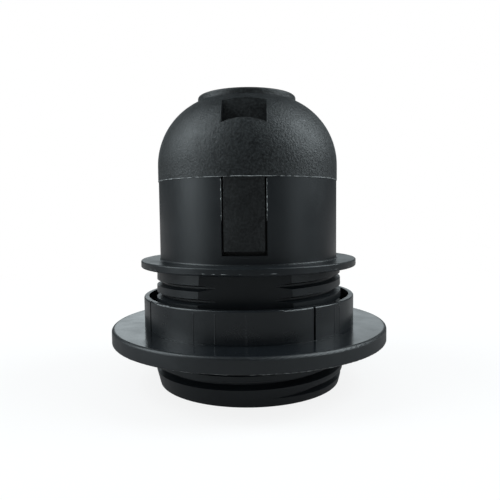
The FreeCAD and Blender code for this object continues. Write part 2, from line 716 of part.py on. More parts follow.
def terminal_block(s):
    body = new_body("terminal_block")
    radius = s["block_radius"]
    inner = s["block_bore"]
    spigot = s["ledge_radius"] - s["block_spigot_gap"]
    revolve(body, "block_blank", [
        (0, s["block_under"]),
        (spigot, s["block_under"]),
        (spigot, s["ledge_top"]),
        (radius, s["ledge_top"]),
        (radius, s["block_top"]),
        (inner, s["block_top"]),
        (inner, s["block_floor"]),
        (0, s["block_floor"]),
    ])
    barrier = new_sketch(body, "barrier_plan", lift=s["block_floor"])
    half = s["barrier_thickness"] / 2
    rectangle(barrier, s["barrier_place"] - half, s["barrier_place"] + half, -inner, inner)
    pad(body, "barrier", barrier, s["barrier_height"])
    notch = new_sketch(body, "key_notch_plan", lift=s["ledge_top"])
    half = s["key_width"] / 2 + s["key_gap"]
    depth = s["shell_bore"] - s["key_depth"] - s["key_gap"]
    rectangle(notch, depth, radius + 1, -half, half)
    rectangle(notch, -radius - 1, -depth, -half, half)
    pocket(body, "key_notches", notch, s["block_top"] - s["ledge_top"])
    flats = new_sketch(body, "tongue_flats_plan", lift=s["ledge_top"])
    half = s["slot_width"] / 2 + s["block_tongue_gap"]
    plane = s["tongue_plane"] - s["block_tongue_gap"]
    rectangle(flats, -half, half, -radius - 1, -plane)
    rectangle(flats, -half, half, plane, radius + 1)
    pocket(body, "tongue_flats", flats, s["block_top"] - s["ledge_top"])
    blind = new_sketch(body, "blind_plan", lift=s["block_floor"] - s["blind_depth"])
    clear = s["screw_radius"] + s["blind_gap"]
    circle(blind, s["live_screw_place"], 0, clear)
    circle(blind, s["neutral_screw_place"], 0, clear)
    pocket(body, "blind_holes", blind, s["blind_depth"])
    through = new_sketch(body, "rivet_plan", lift=s["block_under"])
    loose = s["rivet_radius"] + s["rivet_gap"]
    across, along = turned(s["rivet_circle"], s["rivet_spread"])
    circle(through, s["contact_rivet_place"], 0, loose)
    circle(through, s["neutral_rivet_place"], 0, loose)
    circle(through, across, -along, loose)
    circle(through, across, along, loose)
    pocket(body, "rivet_holes", through, s["block_floor"] - s["block_under"])
    return body


def screw_shell(s):
    """The sheet-metal cup that takes the lamp's cap, hung under the terminal block."""
    body = new_body("screw_shell")
    sheet_metal = s["sheet_thickness"]
    under = s["block_under"] - sheet_metal
    shoulder = s["neck_height"] + s["neck_slope"]
    revolve(body, "cup", [
        (s["lamp_bore"], s["lamp_mouth"]),
        (s["lamp_bore"] + sheet_metal, s["lamp_mouth"]),
        (s["lamp_bore"] + sheet_metal, s["neck_height"]),
        (s["neck_bore"] + sheet_metal, shoulder),
        (s["neck_bore"] + sheet_metal, s["block_under"]),
        (s["lamp_top_hole"], s["block_under"]),
        (s["lamp_top_hole"], under),
        (s["neck_bore"], under),
        (s["neck_bore"], shoulder),
        (s["lamp_bore"], s["neck_height"]),
    ])
    holes = new_sketch(body, "cup_holes_plan", lift=under)
    loose = s["rivet_radius"] + s["rivet_gap"]
    across, along = turned(s["rivet_circle"], s["rivet_spread"])
    circle(holes, s["neutral_rivet_place"], 0, loose)
    circle(holes, across, -along, loose)
    circle(holes, across, along, loose)
    pocket(body, "cup_holes", holes, s["sheet_thickness"])
    return body


def centre_contact(s):
    """The bent leaf spring that touches the lamp's centre contact."""
    body = new_body("centre_contact")
    thick = s["contact_thickness"]
    top = s["block_under"] - s["contact_play"]
    outer = s["contact_rivet_place"] + s["contact_root"]
    bend = s["contact_rivet_place"] - s["contact_root"]
    tail = s["contact_tip"] - s["contact_tail"]
    section = new_sketch(body, "leaf_section", "XZ_Plane")
    outline(section, [
        (outer, top),
        (bend, top),
        (s["contact_tip"], top - s["contact_drop"]),
        (tail, top - s["contact_drop"] + s["contact_lift"]),
        (tail, top - s["contact_drop"] + s["contact_lift"] - thick),
        (s["contact_tip"] - thick / 4, top - s["contact_drop"] - thick),
        (bend - thick / 4, top - thick),
        (outer, top - thick),
    ])
    pad(body, "leaf", section, s["contact_width"], midplane=True)
    hole = new_sketch(body, "leaf_hole_plan", lift=top - thick)
    circle(hole, s["contact_rivet_place"], 0, s["rivet_radius"] + s["contact_play"])
    pocket(body, "leaf_hole", hole, thick)
    return body


def rivet(s, label, place, low, high, head):
    """A rivet between two heights, with a head below and above."""
    body = new_body(label)
    across, along = place
    tall = s["head_height"]
    shank = new_sketch(body, label + "_shank_plan", lift=low)
    circle(shank, across, along, s["rivet_radius"])
    pad(body, label + "_shank", shank, high - low)
    for end, level in (("lower", low - tall), ("upper", high)):
        plan = new_sketch(body, f"{label}_{end}_plan", lift=level)
        circle(plan, across, along, head)
        pad(body, f"{label}_{end}_head", plan, tall)
    return body


def rivets(s):
    plate_top = s["block_floor"] + s["plate_thickness"]
    cup_under = s["block_under"] - s["sheet_thickness"]
    leaf_under = s["block_under"] - s["contact_play"] * 2 - s["contact_thickness"]
    floor = s["block_floor"]
    wide = s["rivet_head"]
    across, along = turned(s["rivet_circle"], s["rivet_spread"])
    return [
        rivet(s, "centre_contact_rivet", (s["contact_rivet_place"], 0), leaf_under, plate_top, wide),
        rivet(s, "neutral_rivet", (s["neutral_rivet_place"], 0), cup_under, plate_top, s["slim_head"]),
        rivet(s, "screw_shell_rivet_front", (across, -along), cup_under, floor, wide),
        rivet(s, "screw_shell_rivet_back", (across, along), cup_under, floor, wide),
    ]


def terminal(s, label, low_end, high_end, screw_place, rivet_place):
    """A brass channel on the block's floor, with its threaded hole and rivet hole."""
    body = new_body(label)
    floor = s["block_floor"]
    half = s["terminal_width"] / 2
    inner = half - s["terminal_wall"]
    base = floor + s["plate_thickness"]
    top = floor + s["terminal_height"]
    section = new_sketch(body, label + "_section", "YZ_Plane", lift=low_end)
    outline(section, [
        (-half, floor),
        (half, floor),
        (half, top),
        (inner, top),
        (inner, base),
        (-inner, base),
        (-inner, top),
        (-half, top),
    ])
    pad(body, label + "_channel", section, high_end - low_end)
    holes = new_sketch(body, label + "_holes_plan", lift=floor)
    circle(holes, screw_place, 0, s["screw_radius"] + s["thread_gap"])
    circle(holes, rivet_place, 0, s["rivet_radius"] + s["rivet_gap"])
    pocket(body, label + "_holes", holes, s["plate_thickness"])
    return body


def clamp_washer(s, label, screw_place):
    """The square washer that a terminal screw presses on the wire."""
    body = new_body(label)
    low = s["block_floor"] + s["plate_thickness"] + s["wire_gap"]
    half_long = s["washer_length"] / 2
    half_wide = s["terminal_width"] / 2 - s["terminal_wall"] - s["washer_gap"]
    plan = new_sketch(body, label + "_plan", lift=low)
    rectangle(plan, screw_place - half_long, screw_place + half_long, -half_wide, half_wide)
    circle(plan, screw_place, 0, s["screw_radius"] + s["washer_hole_gap"])
    pad(body, label + "_plate", plan, s["washer_thickness"])
    return body


def terminal_screw(s, label, screw_place):
    """A slotted cheese-head screw standing on its clamp washer."""
    body = new_body(label)
    seat = s["block_floor"] + s["plate_thickness"] + s["wire_gap"] + s["washer_thickness"]
    shank = new_sketch(body, label + "_shank_plan", lift=seat - s["screw_length"])
    circle(shank, screw_place, 0, s["screw_radius"])
    pad(body, label + "_shank", shank, s["screw_length"])
    head = new_sketch(body, label + "_head_plan", lift=seat)
    circle(head, screw_place, 0, s["screw_head"])
    pad(body, label + "_head", head, s["screw_head_height"])
    slot = new_sketch(body, label + "_slot_plan", lift=seat + s["screw_head_height"] - s["drive_depth"])
    half = s["drive_slot"] / 2
    reach = s["screw_head"] + 1
    rectangle(slot, screw_place - reach, screw_place + reach, -half, half)
    pocket(body, label + "_slot", slot, s["drive_depth"])
    return body


def build():
    s = fill_sheet()
    derive(s)
    bodies = [
        threaded_shell(s),
        dome_cap(s),
        entry_bush(s),
        lock_screw(s),
        shade_ring(s),
        terminal_block(s),
        screw_shell(s),
        centre_contact(s),
    ]
    bodies += rivets(s)
    live = ("live", s["live_inner"], s["live_outer"], s["contact_rivet_place"])
    neutral = ("neutral", s["neutral_outer"], s["neutral_inner"], s["neutral_rivet_place"])
    for side, low_end, high_end, rivet_place in (live, neutral):
        screw_place = s[side + "_screw_place"]
        bodies.append(terminal(s, side + "_terminal", low_end, high_end, screw_place, rivet_place))
        bodies.append(clamp_washer(s, side + "_clamp_washer", screw_place))
        bodies.append(terminal_screw(s, side + "_terminal_screw", screw_place))
    return bodies


def check(bodies):
    doc.recompute()
    for item in doc.Objects:
        if "Invalid" in item.State or "Error" in item.State:
            raise RuntimeError(f"{item.Label} failed: {item.State}")
    for body in bodies:
        if body.Shape.isNull() or not body.Shape.isValid():
            raise RuntimeError(f"{body.Label} has no valid shape")
        if len(body.Shape.Solids) != 1:
            raise RuntimeError(f"{body.Label} is {len(body.Shape.Solids)} solids")


def write(bodies):
    os.makedirs("parts", exist_ok=True)
    for body in bodies:
        body.Shape.exportStep(f"parts/{body.Label}.step")
        box = body.Shape.BoundBox
        print(f"{body.Label:28s} {body.Shape.Volume:9.1f} mm3  z {box.ZMin:6.2f} to {box.ZMax:6.2f}")


parts = build()
check(parts)
write(parts)
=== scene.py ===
import bpy
import bmesh
import math
import numpy as np
from mathutils import Euler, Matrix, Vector


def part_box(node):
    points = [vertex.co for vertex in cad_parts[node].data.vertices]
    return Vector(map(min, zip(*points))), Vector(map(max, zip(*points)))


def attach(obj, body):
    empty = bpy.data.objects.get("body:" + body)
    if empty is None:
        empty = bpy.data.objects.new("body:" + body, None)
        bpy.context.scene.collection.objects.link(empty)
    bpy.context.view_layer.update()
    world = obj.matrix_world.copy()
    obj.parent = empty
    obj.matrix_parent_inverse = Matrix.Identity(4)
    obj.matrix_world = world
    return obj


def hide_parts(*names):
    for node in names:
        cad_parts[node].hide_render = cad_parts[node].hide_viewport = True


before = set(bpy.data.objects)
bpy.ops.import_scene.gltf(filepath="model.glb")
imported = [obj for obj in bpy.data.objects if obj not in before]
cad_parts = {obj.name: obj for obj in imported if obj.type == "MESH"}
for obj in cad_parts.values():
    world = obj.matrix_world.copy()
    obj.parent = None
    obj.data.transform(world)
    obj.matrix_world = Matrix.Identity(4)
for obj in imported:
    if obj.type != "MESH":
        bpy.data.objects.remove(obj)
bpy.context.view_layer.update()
mm = 0.001
scene = bpy.context.scene
print("frame loaded with", len(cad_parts), "nodes")


# small helpers for material nodes; a value that is another node's output is linked

def addNode(mat, kind, values=(), **settings):
    node = mat.node_tree.nodes.new("ShaderNode" + kind)
    for key, value in settings.items():
        setattr(node, key, value)
    pairs = values.items() if isinstance(values, dict) else enumerate(values)
    for key, value in pairs:
        if isinstance(value, bpy.types.NodeSocket):
            mat.node_tree.links.new(value, node.inputs[key])
        else:
            node.inputs[key].default_value = value
    return node


def startMaterial(name, colour, roughness, metallic=0.0, specular=0.5):
    mat = bpy.data.materials.new(name)
    mat.use_nodes = True
    shader = mat.node_tree.nodes["Principled BSDF"]
    shader.inputs["Base Color"].default_value = (*colour, 1)
    shader.inputs["Roughness"].default_value = roughness
    shader.inputs["Metallic"].default_value = metallic
    shader.inputs["Specular IOR Level"].default_value = specular
    return mat, shader


def calc(mat, operation, first, second=0.0):
    return addNode(mat, "Math", (first, second), operation=operation).outputs[0]


def remap(mat, value, low, high, toLow, toHigh, kind="LINEAR"):
    return addNode(mat, "MapRange", (value, low, high, toLow, toHigh), interpolation_type=kind).outputs[0]


def noise(mat, point, size, detail=2.0, rough=0.5, stretch=None):
    # size is the width of one blot; stretch lengthens the blots along X, Y or Z
    if stretch is not None:
        squeeze = tuple(1 / k for k in stretch)
        point = addNode(mat, "VectorMath", (point, squeeze), operation="MULTIPLY").outputs[0]
    values = {"Vector": point, "Scale": 1 / size, "Detail": detail, "Roughness": rough}
    return addNode(mat, "TexNoise", values).outputs[0]


def mixColour(mat, amount, first, second):
    node = addNode(mat, "Mix", {0: amount}, data_type="RGBA")
    for socket, value in ((node.inputs[6], first), (node.inputs[7], second)):
        if isinstance(value, bpy.types.NodeSocket):
            mat.node_tree.links.new(value, socket)
        else:
            socket.default_value = (*value, 1)
    return node.outputs[2]


def addBump(mat, height, distance, under=None):
    node = addNode(mat, "Bump", {"Height": height, "Distance": distance})
    if under is not None:
        mat.node_tree.links.new(under, node.inputs["Normal"])
    return node.outputs[0]


def link(mat, shader, **sockets):
    # sockets of the shader by name, with _ for a space
    for name, value in sockets.items():
        mat.node_tree.links.new(value, shader.inputs[name.replace("_", " ")])


def splitPoint(mat, point):
    return addNode(mat, "SeparateXYZ", (point,)).outputs


def line(mat, value, centre, halfWidth):
    # one on the line, falling smoothly to nothing half a width away
    off = calc(mat, "ABSOLUTE", calc(mat, "SUBTRACT", value, centre))
    return remap(mat, off, 0, halfWidth, 1, 0, "SMOOTHSTEP")


def between(mat, value, low, high, edge):
    # one from low to high, falling to nothing an edge's width outside them
    rise = remap(mat, value, low - edge, low, 0, 1)
    fall = remap(mat, value, high, high + edge, 1, 0)
    return calc(mat, "MULTIPLY", rise, fall)


# the black mouldings: a body colour, a cloudy lighter tone, pale specks, mould grain and fine scuffs

# where the noises, which run from 0 to 1, start and finish to show, and the scuffs' share in the sheen
moulding = {"cloudRange": (0.35, 0.65), "grainRange": (0.4, 0.75), "speckEdge": 0.06,
            "scuffShare": 0.6, "wearRange": (0.6, 1.0)}


def blackMoulding(name, look):
    mat, shader = startMaterial(name, look["colour"], look["roughness"], specular=look["specular"])
    point = addNode(mat, "TexCoord").outputs["Object"]
    grain = noise(mat, point, look["grainSize"], detail=3.0, rough=0.62)
    cloud = noise(mat, point, look["cloudSize"], detail=4.0, rough=0.6)
    speck = noise(mat, point, look["speckSize"], detail=1.0, rough=0.5)
    scuff = noise(mat, point, look["scuffSize"], detail=3.0, rough=0.7, stretch=look["scuffStretch"])
    cloudy = remap(mat, cloud, *moulding["cloudRange"], 0, 1)
    grainy = remap(mat, grain, *moulding["grainRange"], 0, look["grainTone"])
    speckled = remap(mat, speck, look["speckFrom"], look["speckFrom"] + moulding["speckEdge"], 0, 1)
    tone = mixColour(mat, cloudy, look["colour"], look["cloudColour"])
    tone = mixColour(mat, grainy, tone, look["speckColour"])
    tone = mixColour(mat, speckled, tone, look["speckColour"])
    wear = calc(mat, "ADD", cloud, calc(mat, "MULTIPLY", scuff, moulding["scuffShare"]))
    sheen = remap(mat, wear, *moulding["wearRange"],
                  look["roughness"] - look["roughSpread"], look["roughness"] + look["roughSpread"])
    bump = addBump(mat, grain, look["grainHeight"])
    bump = addBump(mat, scuff, look["scuffHeight"], bump)
    link(mat, shader, Base_Color=tone, Roughness=sheen, Normal=bump)
    return mat, shader, point, bump


capLook = {
    "colour": (0.0018, 0.0026, 0.0034), "cloudColour": (0.0058, 0.0070, 0.0077),
    "speckColour": (0.029, 0.033, 0.034),
    "roughness": 0.50, "roughSpread": 0.05, "specular": 0.5,
    "grainSize": 0.42 * mm, "grainHeight": 0.10 * mm, "grainTone": 0.8,
    "cloudSize": 2.2 * mm, "speckSize": 0.5 * mm, "speckFrom": 0.74,
    "scuffSize": 1.2 * mm, "scuffStretch": (1, 1, 1.6), "scuffHeight": 0.012 * mm,
}
shellLook = {
    "colour": (0.0062, 0.0078, 0.0094), "cloudColour": (0.0078, 0.0096, 0.0114),
    "speckColour": (0.022, 0.025, 0.027),
    "roughness": 0.38, "roughSpread": 0.05, "specular": 0.42,
    "grainSize": 0.22 * mm, "grainHeight": 0.006 * mm, "grainTone": 0.10,
    "cloudSize": 6.0 * mm, "speckSize": 0.45 * mm, "speckFrom": 0.82,
    "scuffSize": 0.8 * mm, "scuffStretch": (1, 1, 7), "scuffHeight": 0.006 * mm,
}
ringLook = {
    "colour": (0.0062, 0.0076, 0.0092), "cloudColour": (0.0078, 0.0094, 0.0112),
    "speckColour": (0.026, 0.029, 0.031),
    "roughness": 0.19, "roughSpread": 0.05, "specular": 0.56,
    "grainSize": 0.24 * mm, "grainHeight": 0.003 * mm, "grainTone": 0.10,
    "cloudSize": 5.0 * mm, "speckSize": 0.5 * mm, "speckFrom": 0.81,
    "scuffSize": 1.3 * mm, "scuffStretch": (3, 3, 1), "scuffHeight": 0.002 * mm,
}
blockLook = {
    "colour": (0.016, 0.016, 0.0165), "cloudColour": (0.024, 0.023, 0.022),
    "speckColour": (0.07, 0.066, 0.06),
    "roughness": 0.60, "roughSpread": 0.07, "specular": 0.35,
    "grainSize": 0.20 * mm, "grainHeight": 0.012 * mm, "grainTone": 0.3,
    "cloudSize": 2.5 * mm, "speckSize": 0.35 * mm, "speckFrom": 0.72,
    "scuffSize": 0.9 * mm, "scuffStretch": (1, 1, 1), "scuffHeight": 0.01 * mm,
}


# the tongues' painted shade, then the lines that the mould's slides left: their place across, width, ends and
# height
capMarks = {
    "tongueShade": 0.55, "tongueTop": 41.4 * mm, "domeFoot": 41.7 * mm,
    "across": 4.12 * mm, "halfWidth": 0.13 * mm, "top": 54.2 * mm, "fade": 0.6 * mm,
    "windowWall": 12.9 * mm, "domeFace": 13.4 * mm, "lineHeight": 0.008 * mm,
}


def capPlastic():
    # tongues darkened with painted shade, and a faint line from each of the windows' corners down to the seam
    mat, shader, point, bump = blackMoulding("grainedBlackCap", capLook)
    x, y, z = splitPoint(mat, point)
    tone = shader.inputs["Base Color"].links[0].from_socket
    # painted shade: below the dome's foot the colour over the tongues is scaled darker
    darker = remap(mat, z, capMarks["tongueTop"], capMarks["domeFoot"], capMarks["tongueShade"], 1)
    tone = addNode(mat, "VectorMath", {0: tone, "Scale": darker}, operation="SCALE").outputs[0]
    edge = line(mat, calc(mat, "ABSOLUTE", x), capMarks["across"], capMarks["halfWidth"])
    height = between(mat, z, capMarks["domeFoot"], capMarks["top"], capMarks["fade"])
    outside = remap(mat, calc(mat, "ABSOLUTE", y), capMarks["windowWall"], capMarks["domeFace"], 0, 1)
    mark = calc(mat, "MULTIPLY", calc(mat, "MULTIPLY", edge, height), outside)
    link(mat, shader, Base_Color=tone, Normal=addBump(mat, mark, capMarks["lineHeight"], bump))
    return mat


# how much duller the collar and the flange's edge are, and the heights and radii over which that sets in
ringPolish = {
    "collarDuller": 0.12, "collarFrom": 12.05 * mm, "collarTo": 12.4 * mm,
    "edgeDuller": 0.24, "edgeFrom": 27.95 * mm, "edgeTo": 28.2 * mm,
}


def ringPlastic():
    # the collar and the flange's rounded edge are duller than the flange's polished top
    mat, shader, point, bump = blackMoulding("satinBlackRing", ringLook)
    x, y, z = splitPoint(mat, point)
    flat = addNode(mat, "CombineXYZ", (x, y, 0)).outputs[0]
    radius = addNode(mat, "VectorMath", (flat,), operation="LENGTH").outputs["Value"]
    polish = shader.inputs["Roughness"].links[0].from_socket
    collar = remap(mat, z, ringPolish["collarFrom"], ringPolish["collarTo"], 0, ringPolish["collarDuller"])
    edge = remap(mat, radius, ringPolish["edgeFrom"], ringPolish["edgeTo"], 0, ringPolish["edgeDuller"])
    link(mat, shader, Roughness=calc(mat, "ADD", polish, calc(mat, "MAXIMUM", collar, edge)))
    return mat


print("plastics ready")


# metals: brushed or turned lines, a cloudy tarnish and small dents

metal = {"tarnishRange": (0.38, 0.68), "wearRange": (0.7, 1.3)}


def metalFinish(name, look):
    mat, shader = startMaterial(name, look["colour"], look["roughness"], 1.0)
    point = addNode(mat, "TexCoord").outputs["Object"]
    tarnish = noise(mat, point, look["tarnishSize"], detail=4.0, rough=0.65)
    drawn = noise(mat, point, look["lineSize"], detail=2.0, rough=0.6, stretch=look["lineStretch"])
    dent = noise(mat, point, look["dentSize"], detail=2.0, rough=0.5)
    cloudy = remap(mat, tarnish, *metal["tarnishRange"], 0, 1)
    tone = mixColour(mat, cloudy, look["colour"], look["tarnishColour"])
    rough = remap(mat, calc(mat, "ADD", tarnish, drawn), *metal["wearRange"],
                  look["roughness"] - look["roughSpread"], look["roughness"] + look["roughSpread"])
    bump = addBump(mat, dent, look["dentHeight"])
    bump = addBump(mat, drawn, look["lineHeight"], bump)
    link(mat, shader, Base_Color=tone, Roughness=rough, Normal=bump)
    return mat, shader, point, bump


def screwFinish(name, look, axis, centre):
    # turned rings, and a thread on the shank: the height along the axis in pitches, less the turn round it
    mat, shader, point, bump = metalFinish(name, look)
    x, y, z = splitPoint(mat, point)
    along, across, up = {"Z": (z, x, y), "Y": (y, z, x)}[axis]
    across = calc(mat, "SUBTRACT", across, centre[0])
    up = calc(mat, "SUBTRACT", up, centre[1])
    turn = calc(mat, "DIVIDE", calc(mat, "ARCTAN2", up, across), 2 * math.pi)
    phase = calc(mat, "FRACT", calc(mat, "SUBTRACT", calc(mat, "DIVIDE", along, look["pitch"]), turn))
    squares = calc(mat, "ADD", calc(mat, "MULTIPLY", up, up), calc(mat, "MULTIPLY", across, across))
    radius = calc(mat, "SQRT", squares)
    inside = remap(mat, radius, *look["shankInside"], 0, 1)
    outside = remap(mat, radius, *look["shankOutside"], 1, 0)
    shank = calc(mat, "MULTIPLY", inside, outside)
    ridge = calc(mat, "MULTIPLY", calc(mat, "PINGPONG", phase, 0.5), shank)
    rings = calc(mat, "SINE", calc(mat, "MULTIPLY", radius, 2 * math.pi / look["turningStep"]))
    bump = addBump(mat, ridge, look["threadDepth"], bump)
    link(mat, shader, Normal=addBump(mat, rings, look["turningHeight"], bump))
    return mat


zincLook = {
    "colour": (0.58, 0.60, 0.62), "tarnishColour": (0.52, 0.51, 0.44), "roughness": 0.34, "roughSpread": 0.09,
    "tarnishSize": 1.6 * mm, "lineSize": 0.05 * mm, "lineStretch": (1, 1, 1), "lineHeight": 0.002 * mm,
    "dentSize": 0.5 * mm, "dentHeight": 0.01 * mm,
    "pitch": 0.5 * mm, "threadDepth": 0.25 * mm, "shankInside": (1.38 * mm, 1.45 * mm),
    "shankOutside": (1.55 * mm, 1.6 * mm), "turningStep": 0.11 * mm, "turningHeight": 0.003 * mm,
}
brassLook = {
    "colour": (0.66, 0.49, 0.22), "tarnishColour": (0.47, 0.31, 0.13), "roughness": 0.30, "roughSpread": 0.10,
    "tarnishSize": 2.0 * mm, "lineSize": 0.06 * mm, "lineStretch": (14, 1, 1), "lineHeight": 0.004 * mm,
    "dentSize": 0.9 * mm, "dentHeight": 0.02 * mm,
}
rivetLook = {
    "colour": (0.64, 0.47, 0.21), "tarnishColour": (0.50, 0.33, 0.14), "roughness": 0.33, "roughSpread": 0.08,
    "tarnishSize": 1.0 * mm, "lineSize": 0.08 * mm, "lineStretch": (1, 1, 1), "lineHeight": 0.003 * mm,
    "dentSize": 0.45 * mm, "dentHeight": 0.05 * mm,
}
bronzeLook = {
    "colour": (0.62, 0.40, 0.22), "tarnishColour": (0.45, 0.25, 0.13), "roughness": 0.27, "roughSpread": 0.08,
    "tarnishSize": 2.4 * mm, "lineSize": 0.05 * mm, "lineStretch": (20, 1, 3), "lineHeight": 0.004 * mm,
    "dentSize": 1.5 * mm, "dentHeight": 0.015 * mm,
}
cupLook = {
    "colour": (0.66, 0.66, 0.64), "tarnishColour": (0.54, 0.53, 0.49), "roughness": 0.28, "roughSpread": 0.08,
    "tarnishSize": 4.0 * mm, "lineSize": 0.12 * mm, "lineStretch": (40, 40, 1), "lineHeight": 0.006 * mm,
    "dentSize": 1.6 * mm, "dentHeight": 0.02 * mm,
}
bushLook = {
    "colour": (0.55, 0.57, 0.59), "tarnishColour": (0.50, 0.50, 0.43), "roughness": 0.32, "roughSpread": 0.09,
    "tarnishSize": 2.5 * mm, "lineSize": 0.07 * mm, "lineStretch": (30, 30, 1), "lineHeight": 0.004 * mm,
    "dentSize": 1.0 * mm, "dentHeight": 0.012 * mm,
}
print("metals ready")


def nodeCentre(nodeName):
    low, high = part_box(nodeName)
    return (low + high) / 2


def screwMaterial(nodeName, axis):
    spot = nodeCentre(nodeName)
    centre = (spot.x, spot.y) if axis == "Z" else (spot.z, spot.x)
    return screwFinish(nodeName + "Zinc", zincLook, axis, centre)


capMaterial = capPlastic()
shellMaterial = blackMoulding("satinBlackShell", shellLook)[0]
ringMaterial = ringPlastic()
terminalBrass = metalFinish("stampedBrass", brassLook)[0]
rivetBrass = metalFinish("peenedBrass", rivetLook)[0]
cupMetal = metalFinish("rolledSheet", cupLook)[0]
bushMetal = metalFinish("turnedZinc", bushLook)[0]
washerZinc = metalFinish("washerZinc", zincLook)[0]

finishes = {
    "threaded_shell": shellMaterial,
    "dome_cap": capMaterial,
    "shade_ring": ringMaterial,
    "terminal_block": blackMoulding("mattBlackBlock", blockLook)[0],
    "screw_shell": cupMetal,
    "entry_bush": bushMetal,
    "centre_contact": metalFinish("springBronze", bronzeLook)[0],
    "centre_contact_rivet": rivetBrass,
    "neutral_rivet": rivetBrass,
    "screw_shell_rivet_front": rivetBrass,
    "screw_shell_rivet_back": rivetBrass,
    "live_terminal": terminalBrass,
    "neutral_terminal": terminalBrass,
    "live_clamp_washer": washerZinc,
    "neutral_clamp_washer": washerZinc,
    "live_terminal_screw": screwMaterial("live_terminal_screw", "Z"),
    "neutral_terminal_screw": screwMaterial("neutral_terminal_screw", "Z"),
    "lock_screw": screwMaterial("lock_screw", "Y"),
}
for nodeName, material in finishes.items():
    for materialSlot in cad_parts[nodeName].material_slots:
        materialSlot.material = material
print("finishes on", len(finishes), "nodes")


# new pieces, each a grid of points worked out with numpy

joinWithin = 0.002 * mm
dropBelow = 0.0005 * mm


def weld(mesh):
    # joins points that lie together and drops the faces that this leaves without area
    work = bmesh.new()
    work.from_mesh(mesh)
    bmesh.ops.remove_doubles(work, verts=work.verts, dist=joinWithin)
    bmesh.ops.dissolve_degenerate(work, edges=work.edges, dist=dropBelow)
    work.to_mesh(mesh)
    work.free()


def surfacePiece(name, grids, body, material, sharp=None, aroundOnly=False):
    # each grid is (along, across, xyz) in mm; neighbours make four-sided faces and both directions close on
    # themselves. With aroundOnly only the rows close, and the first and last row are each welded to one point.
    places, faces, start = [], [], 0
    for grid in grids:
        count, wide = grid.shape[:2]
        index = np.arange(count * wide).reshape(count, wide)
        index = np.hstack([index, index[:, :1]])
        if not aroundOnly:
            index = np.vstack([index, index[:1]])
        corners = [index[:-1, :-1], index[:-1, 1:], index[1:, 1:], index[1:, :-1]]
        quads = np.stack(corners, -1).reshape(-1, 4)
        flat = grid.reshape(-1, 3)
        a, b, c, d = (flat[quads[:, k]] for k in range(4))
        volume = (np.cross(a, b) * c).sum() + (np.cross(a, c) * d).sum()  # six times the enclosed volume
        if volume < 0:
            quads = quads[:, ::-1]
        places.append(flat)
        faces.append(quads + start)
        start += len(flat)
    mesh = bpy.data.meshes.new(name)
    mesh.from_pydata((np.vstack(places) * mm).tolist(), [], np.vstack(faces).tolist())
    if aroundOnly:
        weld(mesh)
    mesh.shade_smooth()
    if sharp is not None:
        mesh.set_sharp_from_angle(angle=math.radians(sharp))
    mesh.materials.append(material)
    piece = bpy.data.objects.new(name, mesh)
    scene.collection.objects.link(piece)
    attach(piece, body)
    return piece


def ringAround(radius, height, angle):
    # points at these radii and heights, turned by the angles
    radius, height, angle = np.broadcast_arrays(radius, height, angle)
    return np.stack([radius * np.cos(angle), radius * np.sin(angle), height], -1)


def smooth(value, low, high):
    # nothing below low, one above high, and 3 t squared - 2 t cubed between them
    t = np.clip((value - low) / (high - low), 0, 1)
    return t * t * (3 - 2 * t)


def flatRing(radius, level, angle):
    return ringAround(np.full((1, 1), radius), level, angle)


# sizes in mm: the neck fades into the thread and the thread into the mouth; the lip turns outwards
cup = {
    "pitch": 3.629, "middle": 12.82, "depth": 0.46, "sheet": 0.38, "threadLow": 6.5, "threadHigh": 20.9,
    "mouth": 6.0, "mouthRadius": 13.3, "mouthFade": 1.3, "lipThick": 0.36, "lipRound": 0.06, "lipRise": 0.12,
    "neck": 13.0, "neckSheet": 0.4, "neckFade": 1.6, "neckFrom": 21.2,
    "top": 25.8, "hole": 9.0, "topRound": 0.5, "topBevel": 0.15, "plateBevel": 0.1,
    "around": 144, "rows": 76,
}


def rolledCup():
    # radius = middle + depth * cos(2 pi (height / pitch) - angle), faded to a flared mouth below and a plain
    # neck above; the profile runs down the inside, round the lip and up the outside, a sheet's thickness out
    angle = np.linspace(0, 2 * np.pi, cup["around"], endpoint=False)[None, :]
    height = np.linspace(cup["threadHigh"], cup["threadLow"], cup["rows"])[:, None]
    neck, mouth, lowest = cup["neck"], cup["mouthRadius"], cup["mouth"]
    outerNeck = neck + cup["neckSheet"]
    plate = cup["top"] - cup["neckSheet"]
    wave = cup["middle"] + cup["depth"] * np.cos(2 * np.pi * height / cup["pitch"] - angle)
    wave = neck + (wave - neck) * smooth(-height, -cup["threadHigh"], cup["neckFade"] - cup["threadHigh"])
    inner = mouth + (wave - mouth) * smooth(height, cup["threadLow"], cup["threadLow"] + cup["mouthFade"])
    down = [
        (cup["hole"], plate),
        (neck - cup["plateBevel"], plate),
        (neck, plate - cup["plateBevel"]),
        (neck, cup["neckFrom"]),
    ]
    turned = [
        (mouth, lowest + cup["lipRise"]),
        (mouth + cup["lipRound"], lowest),
        (mouth + cup["lipThick"] - cup["lipRound"], lowest),
        (mouth + cup["lipThick"], lowest + cup["lipRise"]),
    ]
    up = [
        (outerNeck, cup["neckFrom"]),
        (outerNeck, cup["top"] - cup["topRound"]),
        (outerNeck - cup["topBevel"], cup["top"] - cup["topBevel"]),
        (outerNeck - cup["topRound"], cup["top"]),
        (cup["hole"], cup["top"]),
    ]
    rows = [flatRing(*place, angle) for place in down]
    rows.append(ringAround(inner, height, angle))
    rows += [flatRing(*place, angle) for place in turned]
    rows.append(ringAround(inner + cup["sheet"], height, angle)[::-1])
    rows += [flatRing(*place, angle) for place in up]
    piece = surfacePiece("rolledCup", [np.vstack(rows)], "shell", cupMetal, sharp=40)
    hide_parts("screw_shell")
    print("rolled screw shell made,", len(piece.data.polygons), "faces")


